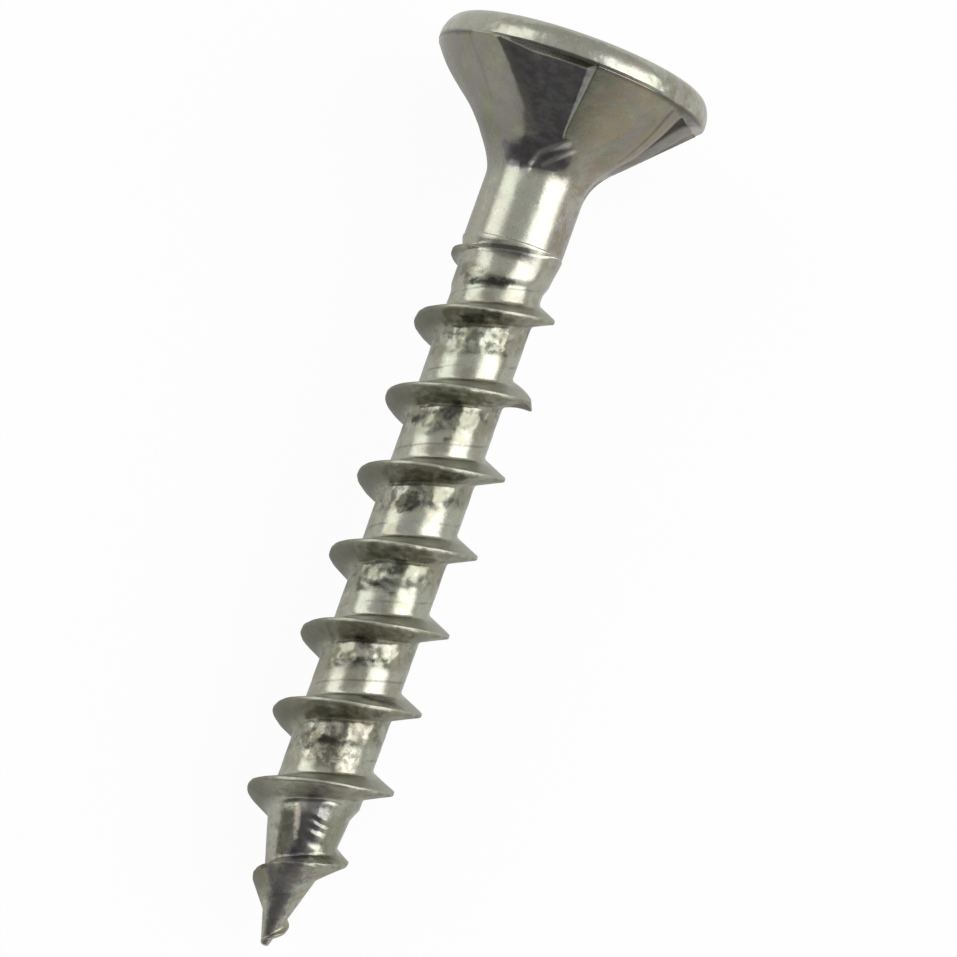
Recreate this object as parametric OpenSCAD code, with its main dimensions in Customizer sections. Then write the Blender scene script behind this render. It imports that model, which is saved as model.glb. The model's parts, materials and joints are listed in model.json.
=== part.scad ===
// Multi-purpose wood screw, 4.5 x 30 mm, one piece of zinc plated steel.
// It lies on its side as it comes to rest, on the rim of its head and on the
// crests of its thread. The screw is built upright along its own axis, point
// at the origin and head on top, and is laid down last.

/* [Screw] */
// Length from the point to the top of the head
screw_l = 30; // [25:0.5:42]
// Turn of the screw about its own axis as it lies
rest_roll = 0; // [-180:1:180]

/* [Head] */
// Diameter of the head over its rim
head_d = 8.92; // [8:0.02:10]
// Height of the rim band, from its lower edge to the top face
rim_h = 0.9; // [0.65:0.05:1.2]
// How far in from the rim its rounding reaches over the top face
rim_round = 0.52; // [0.2:0.02:0.6]
// Width of the small ledge under the rim band
rim_ledge = 0.07; // [0.02:0.01:0.1]
// Angle between the axis and the straight part of the head's underside
seat_angle = 44.5; // [43:0.5:50]
// Radius of the bulge between the underside and the rim
bulge_r = 0.2; // [0.1:0.05:1.2]
// Radius of the fillet between the shank and the underside
neck_r = 1.85; // [0.8:0.05:2.4]

/* [Pockets under the head] */
// Number of milling pockets
pocket_count = 4; // [2:1:6]
// Share of each repeat that the pocket takes, the rest being the land
pocket_share = 0.5; // [0.3:0.05:0.7]
// Angle of the first pocket's middle, about the axis
pocket_turn = -104; // [-180:0.5:180]
// Depth of the pocket below the underside at its upper end, across the axis
pocket_depth = 0.34; // [0.2:0.02:0.44]
// Angle between the axis and the pocket floor
pocket_angle = 40; // [34:0.5:42]
// Thickness of the web between the pocket's top wall and the rim's lower edge
pocket_web = 0.14; // [0.05:0.01:0.25]

/* [Drive recess] */
// Diameter over the tips of the six lobes
lobe_d = 3.92; // [3.3:0.02:4.2]
// Diameter over the six ribs between the lobes
rib_d = 2.82; // [2.2:0.02:2.9]
// Radius of the lobe tips
lobe_r = 0.3; // [0.2:0.02:0.36]
// Depth of the straight part of the recess
recess_h = 2; // [1.2:0.1:2.2]
// Width of the chamfer at the mouth of the recess
mouth_c = 0.14; // [0.05:0.01:0.3]

/* [Shank] */
// Diameter of the smooth shank under the head
shank_d = 3.22; // [2.9:0.02:3.6]
// Length of the smooth shank, up to where the neck fillet starts
shank_l = 1.9; // [0.5:0.1:4]
// Height of the step at the shank's lower end
shank_step = 0.03; // [0.02:0.01:0.1]
// Length of the cone that leads from the core up to the shank
lead_l = 1.3; // [0.5:0.1:2.4]

/* [Thread] */
// Diameter over the thread
thread_d = 4.46; // [4:0.02:5]
// Diameter of the core between the threads
core_d = 2.79; // [2.4:0.01:3]
// Axial distance from one crest to the next
pitch = 2.645; // [2:0.005:3.4]
// Half of the included angle of the thread
flank_angle = 23; // [15:1:28]
// Width of the flat on the crest
crest_w = 0.1; // [0.05:0.01:0.2]
// Radius of the fillet at the foot of each flank
root_r = 0.17; // [0.05:0.01:0.3]
// Height above the point of the crest that faces the first mark
crest_z = 0.56; // [0:0.02:2.6]
// Length over which the thread dies out below the shank
run_out_l = 4; // [2:0.1:6]

/* [Point] */
// Radius of the blunt tip
tip_r = 0.1; // [0.08:0.01:0.3]
// Angle between the axis and the side of the point
point_angle = 16.6; // [12:0.2:18]
// Length over which the thread grows to its full height
point_thread_l = 4.7; // [3.5:0.1:6]
// How far the thread would stand proud of the blunt tip
tip_thread_h = 0.14; // [0.02:0.02:0.2]
// Angle between the thread's lower flank and a square cut, down on the point
point_flank = 60; // [25:1:62]

/* [Bent crest] */
// Turn of the thread, counted from the point, with the bent crest
bent_turn = 7; // [3:1:8]
// How far the crest is bent towards the point
bent_shift = 0.32; // [0:0.01:0.34]
// How far the burr stands proud of the crest
bent_rise = 0.07; // [0:0.01:0.12]
// Angle about the axis that the damage takes
bent_span = 72; // [20:2:90]

/* [Hidden] */

steel_colour = [0.66, 0.66, 0.62];

head_r = head_d / 2;
shank_r = shank_d / 2;
thread_r = thread_d / 2;
core_r = core_d / 2;

// Steps in the long and the short rounded stretches of the head's outline
arc_steps = 8;
short_steps = 3;
// Flat faces round the thread, and points across one turn of its profile
turn_steps = 40;
row_points = 9;

// The rim is rounded by a quarter of an ellipse: its centre and its height
rim_c_r = head_r - rim_round;
rim_low_z = screw_l - rim_h + rim_ledge;
rim_up = screw_l - rim_low_z;

// The outline of the head's underside runs down from the ledge under the rim:
// a bulge, a straight seat and the fillet into the shank.
ledge_r = head_r - rim_ledge;
ledge_z = screw_l - rim_h;
seat_top_r = ledge_r - bulge_r * (1 - cos(seat_angle));
seat_top_z = ledge_z - bulge_r * sin(seat_angle);
seat_low_r = shank_r + neck_r * (1 - cos(seat_angle));
seat_low_z = seat_top_z - (seat_top_r - seat_low_r) / tan(seat_angle);
neck_z = seat_low_z - neck_r * sin(seat_angle);
shank_z = neck_z - shank_l;

// The pocket floor starts under the rim and is steeper than the seat. It runs
// out a little past the seat, or ends in a step where the neck begins.
past_seat = 0.04;
floor_top_z = ledge_z - pocket_web;
floor_top_r = seat_top_r + (floor_top_z - seat_top_z) * tan(seat_angle) - pocket_depth;
floor_run = (pocket_depth + past_seat) / (tan(seat_angle) - tan(pocket_angle));
floor_low_z = max(seat_low_z, floor_top_z - floor_run);
floor_low_r = floor_top_r - (floor_top_z - floor_low_z) * tan(pocket_angle);

function arc_points(cx, cz, rx, rz, from, to, steps = arc_steps) =
    [for (i = [0:steps])
        let (a = from + (to - from) * i / steps)
        [cx + rx * cos(a), cz + rz * sin(a)]];

// Outline of shank and head, from the axis at the shank's lower end
function head_outline() = concat(
    [[0, shank_z], [shank_r, shank_z]],
    arc_points(shank_r + neck_r, neck_z, neck_r, neck_r, 180, 180 - seat_angle),
    arc_points(ledge_r - bulge_r, ledge_z, bulge_r, bulge_r, -seat_angle, 0, short_steps),
    arc_points(rim_c_r, rim_low_z, rim_round, rim_up, 0, 90),
    [[0, screw_l]]);

// Section of the space that one pocket takes away
function pocket_outline() = [
    [floor_low_r, floor_low_z],
    [floor_top_r, floor_top_z],
    [head_r + 1, floor_top_z],
    [head_r + 1, floor_low_z]];

module pockets() {
    step = 360 / pocket_count;
    for (i = [0:pocket_count - 1])
        rotate([0, 0, pocket_turn + step * (i - pocket_share / 2)])
            rotate_extrude(angle = step * pocket_share, $fn = 96)
                polygon(pocket_outline());
}

// Six round lobes joined by six round ribs that meet them at a tangent
lobe_c = lobe_d / 2 - lobe_r;
rib_r = (pow(lobe_c, 2) + pow(rib_d / 2, 2) - lobe_c * rib_d * cos(30) - pow(lobe_r, 2))
    / (2 * (lobe_r - rib_d / 2 + lobe_c * cos(30)));
rib_c = rib_d / 2 + rib_r;
meet_a = atan2(rib_c * sin(30), rib_c * cos(30) - lobe_c);
rib_a = atan2(rib_c * sin(30), rib_c * cos(30) - lobe_c) - 30;

function lobe_outline() = [for (i = [0:5]) each concat(
    [for (k = [-3:3])
        let (a = meet_a * k / 3)
        [lobe_c * cos(60 * i) + lobe_r * cos(60 * i + a),
            lobe_c * sin(60 * i) + lobe_r * sin(60 * i + a)]],
    [for (k = [-2:2])
        let (a = 60 * i + 30 + 180 + rib_a * -k / 3)
        [rib_c * cos(60 * i + 30) + rib_r * cos(a),
            rib_c * sin(60 * i + 30) + rib_r * sin(a)]])];

module drive_recess() {
    over = 0.5;
    foot_r = rib_d / 2 - 0.06;
    translate([0, 0, screw_l - recess_h])
        linear_extrude(recess_h + over)
            polygon(lobe_outline());
    translate([0, 0, screw_l - recess_h - foot_r / 2])
        cylinder(h = foot_r / 2 + 0.01, r1 = 0.02, r2 = foot_r, $fn = 48);
    translate([0, 0, screw_l - mouth_c * 1.4])
        cylinder(h = mouth_c * 1.4 + over, r1 = lobe_d / 2 - mouth_c * 0.6,
            r2 = lobe_d / 2 + mouth_c * 0.4 + over, $fn = 48);
}

// Radius of the core at height z: blunt tip, point, core, lead and shank
cone_z = tip_r * (1 - sin(point_angle));
function core_at(z) =
    z < cone_z ? sqrt(tip_r * tip_r - pow(tip_r - z, 2)) :
    z < shank_z - lead_l ?
        min(core_r, tip_r * cos(point_angle) + (z - cone_z) * tan(point_angle)) :
    core_r + (shank_r - shank_step - core_r) * min(1, (z - shank_z + lead_l) / lead_l);

function ease(u) = let (t = min(1, max(0, u))) t * t * (3 - 2 * t);

// Height of the crest above the core: it grows over the point and dies out
// below the shank
tip_thread_r = tip_r + tip_thread_h;
function grown(z) =
    tip_thread_r + (thread_r - tip_thread_r) * min(1, z / point_thread_l);
function run_out(z) =
    let (u = min(1, max(0, (z - shank_z + run_out_l) / run_out_l)))
    (thread_r - shank_r + shank_step) * (0.35 * u + 0.65 * u * u * u);
function crest_h(z) = z >= shank_z ? 0 :
    max(0, (grown(z) - run_out(z) - core_at(z)) * ease(z / 0.8));

// Flank angles at height z: the lower flank spreads out on the point. A flank
// ends before the middle between two crests, with room for its fillet.
function low_flank(z) =
    point_flank + (flank_angle - point_flank) * ease((z - 2) / (point_thread_l - 2));
foot_most = pitch / 2 - root_r * 1.3;

// Heights near the tip close up, so that the spiral runs into the point
squeeze_z = 0.8;
function close_up(z) = z > squeeze_z ? z : squeeze_z * exp((z - squeeze_z) / squeeze_z);

// The rows start a little over a turn below the first crest and end where
// the whole of the last turn's upper edge lies inside the shank.
cap_z = shank_z + 0.3;
first_row = -floor(turn_steps * 1.05);
last_row = ceil(turn_steps * (cap_z + pitch / 2 - crest_z) / pitch);
row_count = last_row - first_row + 1;

// Share of the bent crest's damage on row n, from 0 to 1, where the crest
// stands h above the core
function bent_at(n, h) =
    let (off = (n / turn_steps - bent_turn) * 360 / (bent_span / 2))
    abs(off) < 1 ? pow(cos(off * 90), 2) * h / (thread_r - core_r) : 0;

// One point of the thread: n counts the steps round the axis, j the points
// across one turn, with the crest flat between points 4 and 5
function thread_point(n, j) =
    let (
        mid_z = crest_z + pitch * n / turn_steps,
        h = crest_h(close_up(mid_z)),
        side = j < 4.5 ? -1 : 1,
        k = j < 4.5 ? 4 - j : j - 5,
        flank = side < 0 ? low_flank(mid_z) : flank_angle,
        foot = min(crest_w / 2 + h * tan(flank), foot_most),
        lift = min(h, root_r) * 0.9,
        off = k == 0 ? crest_w / 2 :
            k == 1 ? crest_w / 2 + (foot - crest_w / 2) * (1 - lift / max(h, 0.01)) :
            k == 2 ? foot + root_r * 0.25 :
            k == 3 ? foot + root_r : pitch / 2,
        up = k == 0 ? h : k == 1 ? lift : k == 2 ? lift * 0.2 : 0,
        damage = k == 0 ? bent_at(n, h) : k == 1 ? bent_at(n, h) * 0.15 : 0,
        z = close_up(mid_z + side * off - bent_shift * damage),
        r = core_at(z) + up + bent_rise * damage,
        a = 360 * n / turn_steps
    )
    [r * cos(a), r * sin(a), z];

module threaded_body() {
    top_start = row_count * row_points;
    points = concat(
        [for (n = [first_row:last_row]) for (j = [0:row_points - 1]) thread_point(n, j)],
        [for (n = [last_row + 1:last_row + turn_steps]) thread_point(n, 0)],
        [[0, 0, 0], [0, 0, cap_z + pitch / 2]]);
    tip_id = top_start + turn_steps;
    top_id = tip_id + 1;

    // Place in the list of row i's point j; a row ends where the row one turn
    // further on begins
    function id(i, j) = j == row_points ? id(i + turn_steps, 0) :
        i < row_count ? i * row_points + j : top_start + i - row_count;

    sides = [for (i = [0:row_count - 2]) for (j = [0:row_points - 1]) each [
        [id(i, j), id(i, j + 1), id(i + 1, j + 1)],
        [id(i, j), id(i + 1, j + 1), id(i + 1, j)]]];
    last = row_count - 1;
    ends = concat(
        [for (i = [0:turn_steps - 1]) [tip_id, id(i, 0), id(i + 1, 0)]],
        [for (j = [0:row_points - 1]) [tip_id, id(0, j + 1), id(0, j)]],
        [for (i = [0:turn_steps - 1]) [top_id, id(last + i + 1, 0), id(last + i, 0)]],
        [for (j = [0:row_points - 1]) [top_id, id(last, j), id(last, j + 1)]]);
    polyhedron(points = points, faces = concat(sides, ends), convexity = 12);
}

module head_and_shank() {
    difference() {
        rotate_extrude($fn = 96)
            polygon(head_outline());
        pockets();
        drive_recess();
    }
}

// How the screw rests: the tilt at which the rim and the lowest crest of the
// thread touch the ground together, and the height and middle that this gives
down_angle = 90 - rest_roll;
function tilt_on(p) =
    atan2(head_r - p.x * cos(down_angle) - p.y * sin(down_angle), rim_low_z - p.z);
rest_tilt = min([for (n = [0:turn_steps * 4]) for (j = [4, 5]) tilt_on(thread_point(n, j))]);
rest_z = head_r * cos(rest_tilt) - rim_low_z * sin(rest_tilt);
low_x = tip_r * cos(rest_tilt) - tip_r;
high_x = rim_low_z * cos(rest_tilt) + rim_c_r * sin(rest_tilt)
    + norm([rim_round * sin(rest_tilt), rim_up * cos(rest_tilt)]);

module screw() {
    color(steel_colour)
        translate([-(low_x + high_x) / 2, 0, rest_z])
            rotate([0, 90 - rest_tilt, 0])
                rotate([0, 0, rest_roll - 90])
                    union() {
                        threaded_body();
                        head_and_shank();
                    }
}

screw();
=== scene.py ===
# A multi-purpose wood screw, 4.5 x 30 mm, lying on a pale floor.

import json
import math

import bpy
import numpy as np
from mathutils import Matrix, Vector


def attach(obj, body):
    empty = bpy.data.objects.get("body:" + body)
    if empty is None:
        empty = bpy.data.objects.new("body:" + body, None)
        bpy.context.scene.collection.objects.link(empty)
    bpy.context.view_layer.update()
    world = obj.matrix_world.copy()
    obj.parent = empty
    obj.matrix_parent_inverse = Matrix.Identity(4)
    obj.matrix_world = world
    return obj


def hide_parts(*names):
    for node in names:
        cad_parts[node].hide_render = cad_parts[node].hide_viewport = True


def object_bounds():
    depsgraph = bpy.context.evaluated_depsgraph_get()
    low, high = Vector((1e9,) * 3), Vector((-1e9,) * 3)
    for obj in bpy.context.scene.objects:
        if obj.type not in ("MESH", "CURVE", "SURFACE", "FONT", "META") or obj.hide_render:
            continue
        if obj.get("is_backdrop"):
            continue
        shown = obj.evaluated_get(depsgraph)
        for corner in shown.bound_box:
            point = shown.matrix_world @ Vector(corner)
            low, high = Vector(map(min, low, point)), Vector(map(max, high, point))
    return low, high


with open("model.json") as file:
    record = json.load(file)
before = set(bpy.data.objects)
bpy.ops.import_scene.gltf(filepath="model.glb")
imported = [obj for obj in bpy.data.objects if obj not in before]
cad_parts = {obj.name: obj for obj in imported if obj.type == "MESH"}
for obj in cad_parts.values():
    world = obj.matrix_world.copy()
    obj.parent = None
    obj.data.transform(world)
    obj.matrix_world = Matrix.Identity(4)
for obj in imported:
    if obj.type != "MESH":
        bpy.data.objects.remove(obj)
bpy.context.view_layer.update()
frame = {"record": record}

# How the screw lies
# It rests on its rim and one crest of its thread, so its axis rises towards
# the head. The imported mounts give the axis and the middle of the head's top.
# Sizes are those of the upright screw in millimetres, and heights are from its tip.
MM = 0.001
SCREW_L = 30.0
mounts = {m["name"]: m for m in frame["record"]["mounts"]}
axis = Vector(mounts["drive_recess"]["axis"]).normalized()
head_top = Vector(mounts["drive_recess"]["pos_m"])
tip = head_top - axis * SCREW_L * MM
right = Vector((0, -1, 0))
front = right.cross(axis)

# The wire: point, core and lead
# A steel wire, pinched to a point and rolled down to the core that the thread
# stands on. A short cone leads up to the smooth shank.
CORE_R = 1.395
SHANK_R = 1.612
TIP_R = 0.11
POINT_ANGLE = math.radians(16.6)
POINT_BLEND = 0.05
LEAD_END = 23.45
LEAD_TOP = LEAD_END - 0.03
# The lead was rolled in two steps. The lower one is askew, and the upper one is
# longer on the right, a little hollow, and ends in a low lip.
FIRST_STEP_Z = 21.95
FIRST_STEP = 0.07
FIRST_STEP_RUN = 0.32
FIRST_STEP_SKEW = 0.42
SECOND_STEP_Z = 22.84
LONGER = 0.5
LONGER_FROM = 0.25
LONGER_OVER = 0.6
HOLLOW = 0.16
LIP = 0.014


def facing(degrees):
    """Angle about the axis of a direction given from the camera's side, where
    positive values are to the right."""
    return math.radians(degrees - 90)


# The pinching dies left a flat beside the point
FLAT_FACING = facing(72)
FLAT_HALF = math.radians(62)
FLAT_LOW = 3.2
FLAT_START = 0.4
FLAT_MID = 3.7
FLAT_R = 1.13
FLAT_LEAN = 0.05
FLAT_RISE_Z = 4.6
FLAT_RISE = 0.5
FLAT_TOP = 5.35
FLAT_DEEPEST = 0.3


def ease(u):
    """A smooth step from 0 at 0 to 1 at 1."""
    u = np.clip(u, 0, 1)
    return u * u * (3 - 2 * u)


def hump(u):
    """A smooth bump: 1 at 0, and 0 from -1 down and from 1 up."""
    return np.cos(np.clip(u, -1, 1) * math.pi / 2) ** 2


def wrapped(a):
    """The same angle, from -pi to pi."""
    return (a + math.pi) % (2 * math.pi) - math.pi


def smooth_min(a, b, soft):
    """The lower of two values, rounded where they meet."""
    return np.minimum(a, b) - soft * np.log1p(np.exp(-np.abs(a - b) / soft))


def core_at(z, a):
    """Radius of the wire at height z and angle a, before the thread."""
    cone = TIP_R + z * math.tan(POINT_ANGLE)
    nose = np.sqrt(np.clip(z * (4 * TIP_R - z), 0, None))
    point = np.where(z < TIP_R, np.minimum(nose, cone), cone)
    body = smooth_min(point, CORE_R + 0 * z, POINT_BLEND)
    askew = FIRST_STEP_SKEW * np.cos(a)
    body = body + FIRST_STEP * ease((z - askew - FIRST_STEP_Z) / FIRST_STEP_RUN)
    start = SECOND_STEP_Z - LONGER * ease((np.cos(a) - LONGER_FROM) / LONGER_OVER)
    u = np.clip((z - start) / (LEAD_TOP - start), 0, 1)
    rise = SHANK_R + LIP - FIRST_STEP - CORE_R
    body = body + rise * (u - HOLLOW * np.sin(math.pi * u) * (1 - u))
    beside = hump(wrapped(a - FLAT_FACING) / FLAT_HALF)
    flat = FLAT_R + FLAT_LEAN * (z - FLAT_MID) + FLAT_RISE * np.clip(z - FLAT_RISE_Z, 0, None)
    deep = np.clip(body - flat, 0, FLAT_DEEPEST) * ease((z - FLAT_LOW) / FLAT_START)
    return body - deep * (z < FLAT_TOP) * np.sqrt(beside)


# The thread
# One right-hand ridge, rolled into the wire, with slim flanks, a narrow worn
# crest and a fillet at each foot. It grows over the point and dies out below
# the shank.
STEPS = 136
PITCH = 2.644
CREST_Z = 0.56
CREST_R = 2.23
CREST_HALF = 0.07
CREST_ROUND = 0.06
FLANK_LOW = math.radians(24.5)
FLANK_UP = math.radians(21.5)
CREST_EDGES = (0.6, 0.95)
ROOT_R = 0.17
ROOT_MOST = 0.75
# It starts low on the tip, a little high up, and with blunter flanks
START_R = 0.24
START_LIFT = 0.05
FULL_Z = 4.7
BLUNT_Z = 1.2
BLUNT_RUN = 3.6
BLUNTER_LOW = math.radians(60)
BLUNTER_UP = math.radians(10)
BLUNTEST = math.radians(62)
TIP_BARE = 0.5
# Below the shank it sinks slowly, then fast, and lags behind the pitch
RUN_OUT = 4.0
RUN_OUT_EVEN = 0.35
LAST_DROP = 0.25
LAST_DROP_Z = 22.85
LAST_DROP_RUN = 0.3
LAG = 0.38
LAG_TURN = 8
LAG_OVER = 0.7
LAG_MOST = 1.2
LAG_CURVE = 2.3
# How the ridge is divided from its crest to the next: down a flank, round the
# root and over the core
FLANK_SHARES = (0.0, 0.28, 0.54, 0.8)
ROOT_PARTS = 4
CORE_PARTS = 9
LOW_SQUEEZE = 0.7
TOP_SQUEEZE = 0.06
FIRST_TURN = -1.3
LAST_TURN = (LEAD_TOP + PITCH / 2 - CREST_Z) / PITCH + 0.55

row_ids = np.arange(round(FIRST_TURN * STEPS), round(LAST_TURN * STEPS) + 1)
rows = len(row_ids)


def close_up(z):
    """Rows below the point and above the last turn are drawn together."""
    low = LOW_SQUEEZE * np.exp(np.clip(z / LOW_SQUEEZE - 1, -8, 0))
    over = np.clip(z - LEAD_TOP, 0, None) / TOP_SQUEEZE
    high = LEAD_TOP + TOP_SQUEEZE * (1 - np.exp(-over))
    return np.where(z < LOW_SQUEEZE, low, np.where(z > LEAD_TOP, high, z))


def crest_mid(turn):
    """Height of the crest."""
    lift = START_LIFT * (1 - ease(turn / 2))
    late = np.clip((turn - LAG_TURN) / LAG_OVER, 0, LAG_MOST) ** LAG_CURVE
    return CREST_Z + PITCH * turn + lift - LAG * late


def crest_height(z, a):
    """How far the crest stands above the core."""
    grown = START_R + (CREST_R - START_R) * np.clip(z / FULL_Z, 0, 1)
    u = np.clip((z - LEAD_END + RUN_OUT) / RUN_OUT, 0, 1)
    fade = (CREST_R - SHANK_R) * (RUN_OUT_EVEN * u + (1 - RUN_OUT_EVEN) * u**3)
    fade = fade + LAST_DROP * ease((z - LAST_DROP_Z) / LAST_DROP_RUN)
    return np.clip((grown - fade - core_at(z, a)) * ease(z / TIP_BARE), 0, None)


def side_profile(h, angle, reach):
    """One side of the ridge: offsets along the axis from the crest, and
    heights above the core, out to the midway line at reach."""
    slope = np.tan(angle)
    turn = math.pi / 2 - angle
    root = np.minimum(ROOT_R, h * ROOT_MOST)
    foot = CREST_HALF + h * slope
    toe = root * np.tan(turn / 2)
    low = toe * np.cos(angle)
    worn = CREST_ROUND * np.minimum(1, h)
    offs = [CREST_HALF * edge + h * 0 for edge in CREST_EDGES]
    ups = [h, h - worn * 0.25]
    for share in FLANK_SHARES:
        up = np.maximum(h - worn - share * (h - worn - low), low)
        offs.append(CREST_HALF + (h - up) * slope)
        ups.append(up)
    for k in range(ROOT_PARTS):
        b = -math.pi / 2 - turn * (1 - k / (ROOT_PARTS - 1))
        offs.append(foot + toe + root * np.cos(b))
        ups.append(root + root * np.sin(b))
    edge = foot + toe
    for share in np.linspace(0.1, 0.9, CORE_PARTS):
        offs.append(edge + np.maximum(reach - edge, 0.05) * share)
        ups.append(h * 0)
    return offs, ups


turns = row_ids / STEPS
angle = turns * 2 * math.pi
mid = crest_mid(turns)
gap_below = (mid - crest_mid(turns - 1)) / 2
gap_above = (crest_mid(turns + 1) - mid) / 2
mid_z = close_up(mid)
height = crest_height(mid_z, angle)
blunt = 1 - ease((mid_z - BLUNT_Z) / BLUNT_RUN)
lower_flank = np.minimum(FLANK_LOW + blunt * BLUNTER_LOW, BLUNTEST)
lower = side_profile(height, lower_flank, gap_below)
upper = side_profile(height, FLANK_UP + blunt * BLUNTER_UP, gap_above)
offsets = [-gap_below] + [-off for off in reversed(lower[0])] + [height * 0] + upper[0]
ups = [height * 0] + list(reversed(lower[1])) + [height] + upper[1]
offsets = np.stack(offsets, axis=1)
ups = np.stack(ups, axis=1)
across = offsets.shape[1]

# The seventh turn's crest is knocked over towards the point, with a burr, and
# the other crests are worn and waver
BENT_TURN = 7.0
BENT_HALF = 0.1
BENT_DOWN = 0.26
BENT_THIN = 0.23
BURR = 0.05
ROUNDED = 0.07
WEAR = 0.014
NICKS = 0.012
WAVER = 0.022
WORN_FROM = 0.3
# Between the ridges the rolled core is not quite even
CORE_UNEVEN = 0.008
BARE_UP = 0.05
UNEVEN_LOW = 2
UNEVEN_LOW_RUN = 2
UNEVEN_TOP = 23
UNEVEN_TOP_RUN = 0.6


def ripple(x, y, seed, octaves=3):
    """Smooth uneven values between about -1 and 1, the same on every run. The
    odd factors keep its waves from falling into step."""
    total = np.zeros(np.broadcast(x, y).shape)
    for k in range(octaves):
        f = 1.9**k
        p = seed * 12.9898 + k * 4.1414
        wave = np.sin(x * f + p + 1.7 * np.sin(y * f * 0.83 + p * 1.3))
        total = total + wave * np.cos(y * f * 1.21 - p * 0.7 + x * f * 0.37) / 1.6**k
    return total / 1.6


bent = hump((turns - BENT_TURN) / BENT_HALF)
bent = bent * np.clip(height / (CREST_R - CORE_R), 0, 1)
part_up = np.clip(ups / np.maximum(height[:, None], 1e-6), 0, 1)
at_crest = part_up**4
standing = height > WORN_FROM
worn = WEAR * ripple(angle * 4.3, mid * 0.4, 5) + NICKS * ripple(angle * 17, mid * 0.2, 8, 2)
waver = WAVER * ripple(angle * 2.6, mid * 0.3, 11)
z_grid = mid[:, None] + offsets
z_grid = z_grid + at_crest * (waver * standing)[:, None]
knocked = np.where(offsets > 0, BENT_THIN * part_up, 0) - BENT_DOWN * part_up**2
z_grid = z_grid + knocked * bent[:, None]
z_grid = close_up(z_grid)
wide_angle = angle[:, None] + 0 * z_grid
rad_grid = core_at(z_grid, wide_angle) + ups
burr = np.where(offsets > 0, -ROUNDED, BURR)
rad_grid = rad_grid + at_crest * (burr * bent[:, None] + (worn * standing)[:, None])
bare = np.clip(1 - ups / BARE_UP, 0, 1) * ease((z_grid - UNEVEN_LOW) / UNEVEN_LOW_RUN)
bare = bare * ease((UNEVEN_TOP - z_grid) / UNEVEN_TOP_RUN)
rad_grid = rad_grid + CORE_UNEVEN * ripple(wide_angle * 2.3, z_grid * 2.9, 3) * bare

points = []
faces = []


def add_points(radius, a, z):
    """Appends points given by radius, angle and height, and returns the
    number of the first."""
    start = sum(len(p) for p in points)
    x, away, z = np.broadcast_arrays(radius * np.cos(a), radius * np.sin(a), z)
    points.append(np.stack([x.ravel(), away.ravel(), z.ravel()], axis=-1))
    return start


add_points(rad_grid, wide_angle, z_grid)
end_turns = (row_ids[-1] + 1 + np.arange(STEPS)) / STEPS
end_z = close_up((crest_mid(end_turns) + crest_mid(end_turns - 1)) / 2)
end_angle = end_turns * 2 * math.pi
add_points(core_at(end_z, end_angle), end_angle, end_z)


def row_point(i, j):
    """Number of point j on row i; a row ends where the row one turn on begins."""
    if j == across:
        return row_point(i + STEPS, 0)
    return i * across + j if i < rows else rows * across + i - rows


for i in range(rows - 1):
    for j in range(across):
        faces.append(
            (row_point(i, j), row_point(i + 1, j), row_point(i + 1, j + 1), row_point(i, j + 1))
        )

tip_id = add_points(0.0, 0.0, 0.0)
for i in range(STEPS - 1):
    faces.append((tip_id, row_point(i + 1, 0), row_point(i, 0)))
for j in range(across):
    faces.append((row_point(STEPS - 1, 0), row_point(0, j + 1), row_point(0, j)))
faces.append((tip_id, row_point(0, 0), row_point(STEPS - 1, 0)))

# Shank, neck and the underside of the head
# The wire's full thickness, headed cold into a countersunk head. Four milling
# pockets are pressed into its underside, and the one on the right came out
# wider and shallower.
HEAD_STEPS = 2 * STEPS
HEAD_R = 4.462
CREASE_Z = 29.1
CREASE_R = 4.39
NECK_Z = 25.43
NECK_BEND = 1.85
SEAT = math.radians(44.5)
# The left side was upset a little fuller than the rest: between which angles,
# and at which heights, with half their width and by how much
FULLER_FROM = -150
FULLER_TO = -50
FULLER_SOFT = 24
FULLER = ((26.5, 1.0, 0.12), (28.3, 1.2, 0.185))
FULLER_END = 0.15
POCKET_TOP = 28.96
POCKET_FALL = 0.14
SHALLOW = 0.045
SHALLOW_END = 25.6
SHALLOW_END_RUN = 0.3
ROOF_SLOPE = 3.2
WALL_SLOPE = 1.3
MOST_LEAN_H = 1.7
POCKET_SOFT = 0.01
# How far in from its start, end, foot and roof a pocket's painted shade is whole
SHADE_START = 0.4
SHADE_END = 0.1
SHADE_FOOT_Z = 26.4
SHADE_FOOT = 0.5
SHADE_ROOF_Z = POCKET_TOP + 0.05
SHADE_ROOF = 0.1
# Where each pocket starts and ends at the top, how steep its start is, how deep
# it is, and how fast its start leans over, in degrees a millimetre
POCKETS = (
    (-38, 8, 0.3, 0.34, 8.5),
    (54, 106, 0.24, 0.22, 9.6),
    (144, 188, 0.6, 0.34, 8.5),
    (228, 270, 0.6, 0.34, 8.5),
)
# The end wall swings over where it runs down the neck
SWING_Z = (25.6, 25.95, 26.35, 26.6, 26.85, 27.1)
SWING = (-20, -18, -14, -6, 2, 0)


def smooth_max(a, b, soft):
    """The higher of two values, rounded where they meet."""
    return -smooth_min(-a, -b, soft)


def land_at(z, a):
    """Radius of the underside away from the pockets."""
    bend_top = math.sin(SEAT)
    u = np.clip((z - NECK_Z) / NECK_BEND, 0, bend_top)
    cone = np.clip(z - NECK_Z - NECK_BEND * bend_top, 0, None) * math.tan(SEAT)
    straight = SHANK_R + NECK_BEND * (1 - np.sqrt(1 - u * u)) + cone
    side = np.degrees(wrapped(a - facing(0)))
    left = ease((FULLER_TO - side) / FULLER_SOFT) * ease((side - FULLER_FROM) / FULLER_SOFT)
    fuller = sum(more * hump((z - middle_z) / half) for middle_z, half, more in FULLER)
    return straight + left * fuller * ease((CREASE_Z - z) / FULLER_END)


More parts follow.
